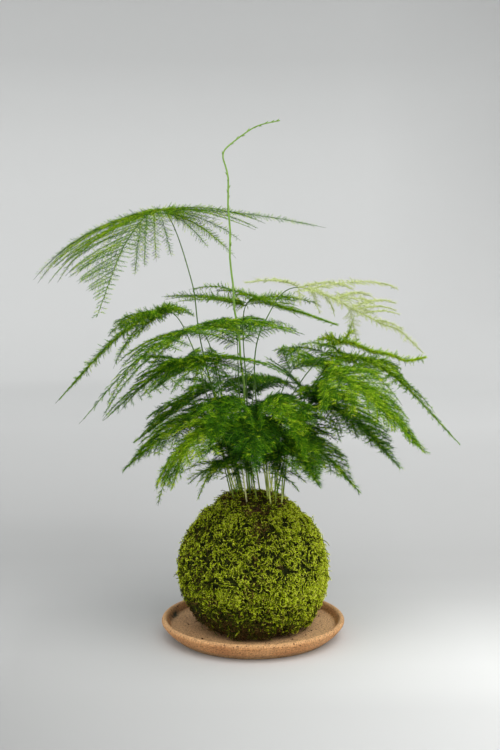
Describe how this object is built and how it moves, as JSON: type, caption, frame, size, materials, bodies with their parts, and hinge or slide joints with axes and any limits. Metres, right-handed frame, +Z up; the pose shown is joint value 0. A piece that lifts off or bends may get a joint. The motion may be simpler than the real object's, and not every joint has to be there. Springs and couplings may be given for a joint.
{
  "type": "kokedama moss ball plant",
  "caption": "Moss-covered soil ball standing on a round clay saucer, with a feathery asparagus fern and one tall bare shoot growing out of its top.",
  "frame": {"origin": "centre of the saucer's flat underside, on the surface it stands on", "axes": "+Z up; -Y is the front, the side the plant is seen from; +X to the right seen from the front, towards the pale young frond's side"},
  "size_m": [0.3445, 0.2512, 0.4139],
  "materials": {
    "clay": "matte",
    "moss": "matte",
    "soil": "matte",
    "foliage": "matte",
    "young_foliage": "matte",
    "stem": "matte",
    "young_shoot": "matte"
  },
  "bodies": {
    "root": {"saucer": "clay", "moss_cover": "moss", "soil_ball": "soil", "tall_shoot": "young_shoot", "stem_high_left": "stem", "frond_high_left": "foliage", "stem_level_top": "stem", "frond_level_top": "foliage", "stem_pale_young": "stem", "frond_pale_young": "young_foliage", "stem_left_upper": "stem", "frond_left_upper": "foliage", "stem_left_mid": "stem", "frond_left_mid": "foliage", "stem_left_lower": "stem", "frond_left_lower": "foliage", "stem_low_left_back": "stem", "frond_low_left_back": "foliage", "stem_low_left": "stem", "frond_low_left": "foliage", "stem_low_left_front": "stem", "frond_low_left_front": "foliage", "stem_small_left": "stem", "frond_small_left": "foliage", "stem_front_left": "stem", "frond_front_left": "foliage", "stem_front_center": "stem", "frond_front_center": "foliage", "stem_front_right": "stem", "frond_front_right": "foliage", "stem_right_high": "stem", "frond_right_high": "foliage", "stem_right_bright": "stem", "frond_right_bright": "foliage", "stem_right_ridge": "stem", "frond_right_ridge": "foliage", "stem_right_mid": "stem", "frond_right_mid": "foliage", "stem_right_low": "stem", "frond_right_low": "foliage", "stem_right_low_front": "stem", "frond_right_low_front": "foliage", "stem_right_back": "stem", "frond_right_back": "foliage", "stem_back_high": "stem", "frond_back_high": "foliage", "stem_back_center": "stem", "frond_back_center": "foliage", "stem_back_left": "stem", "frond_back_left": "foliage", "stem_back_right": "stem", "frond_back_right": "foliage", "stem_back_low": "stem", "frond_back_low": "foliage", "stem_back_low_right": "stem", "frond_back_low_right": "foliage"}
  },
  "joints": []
}
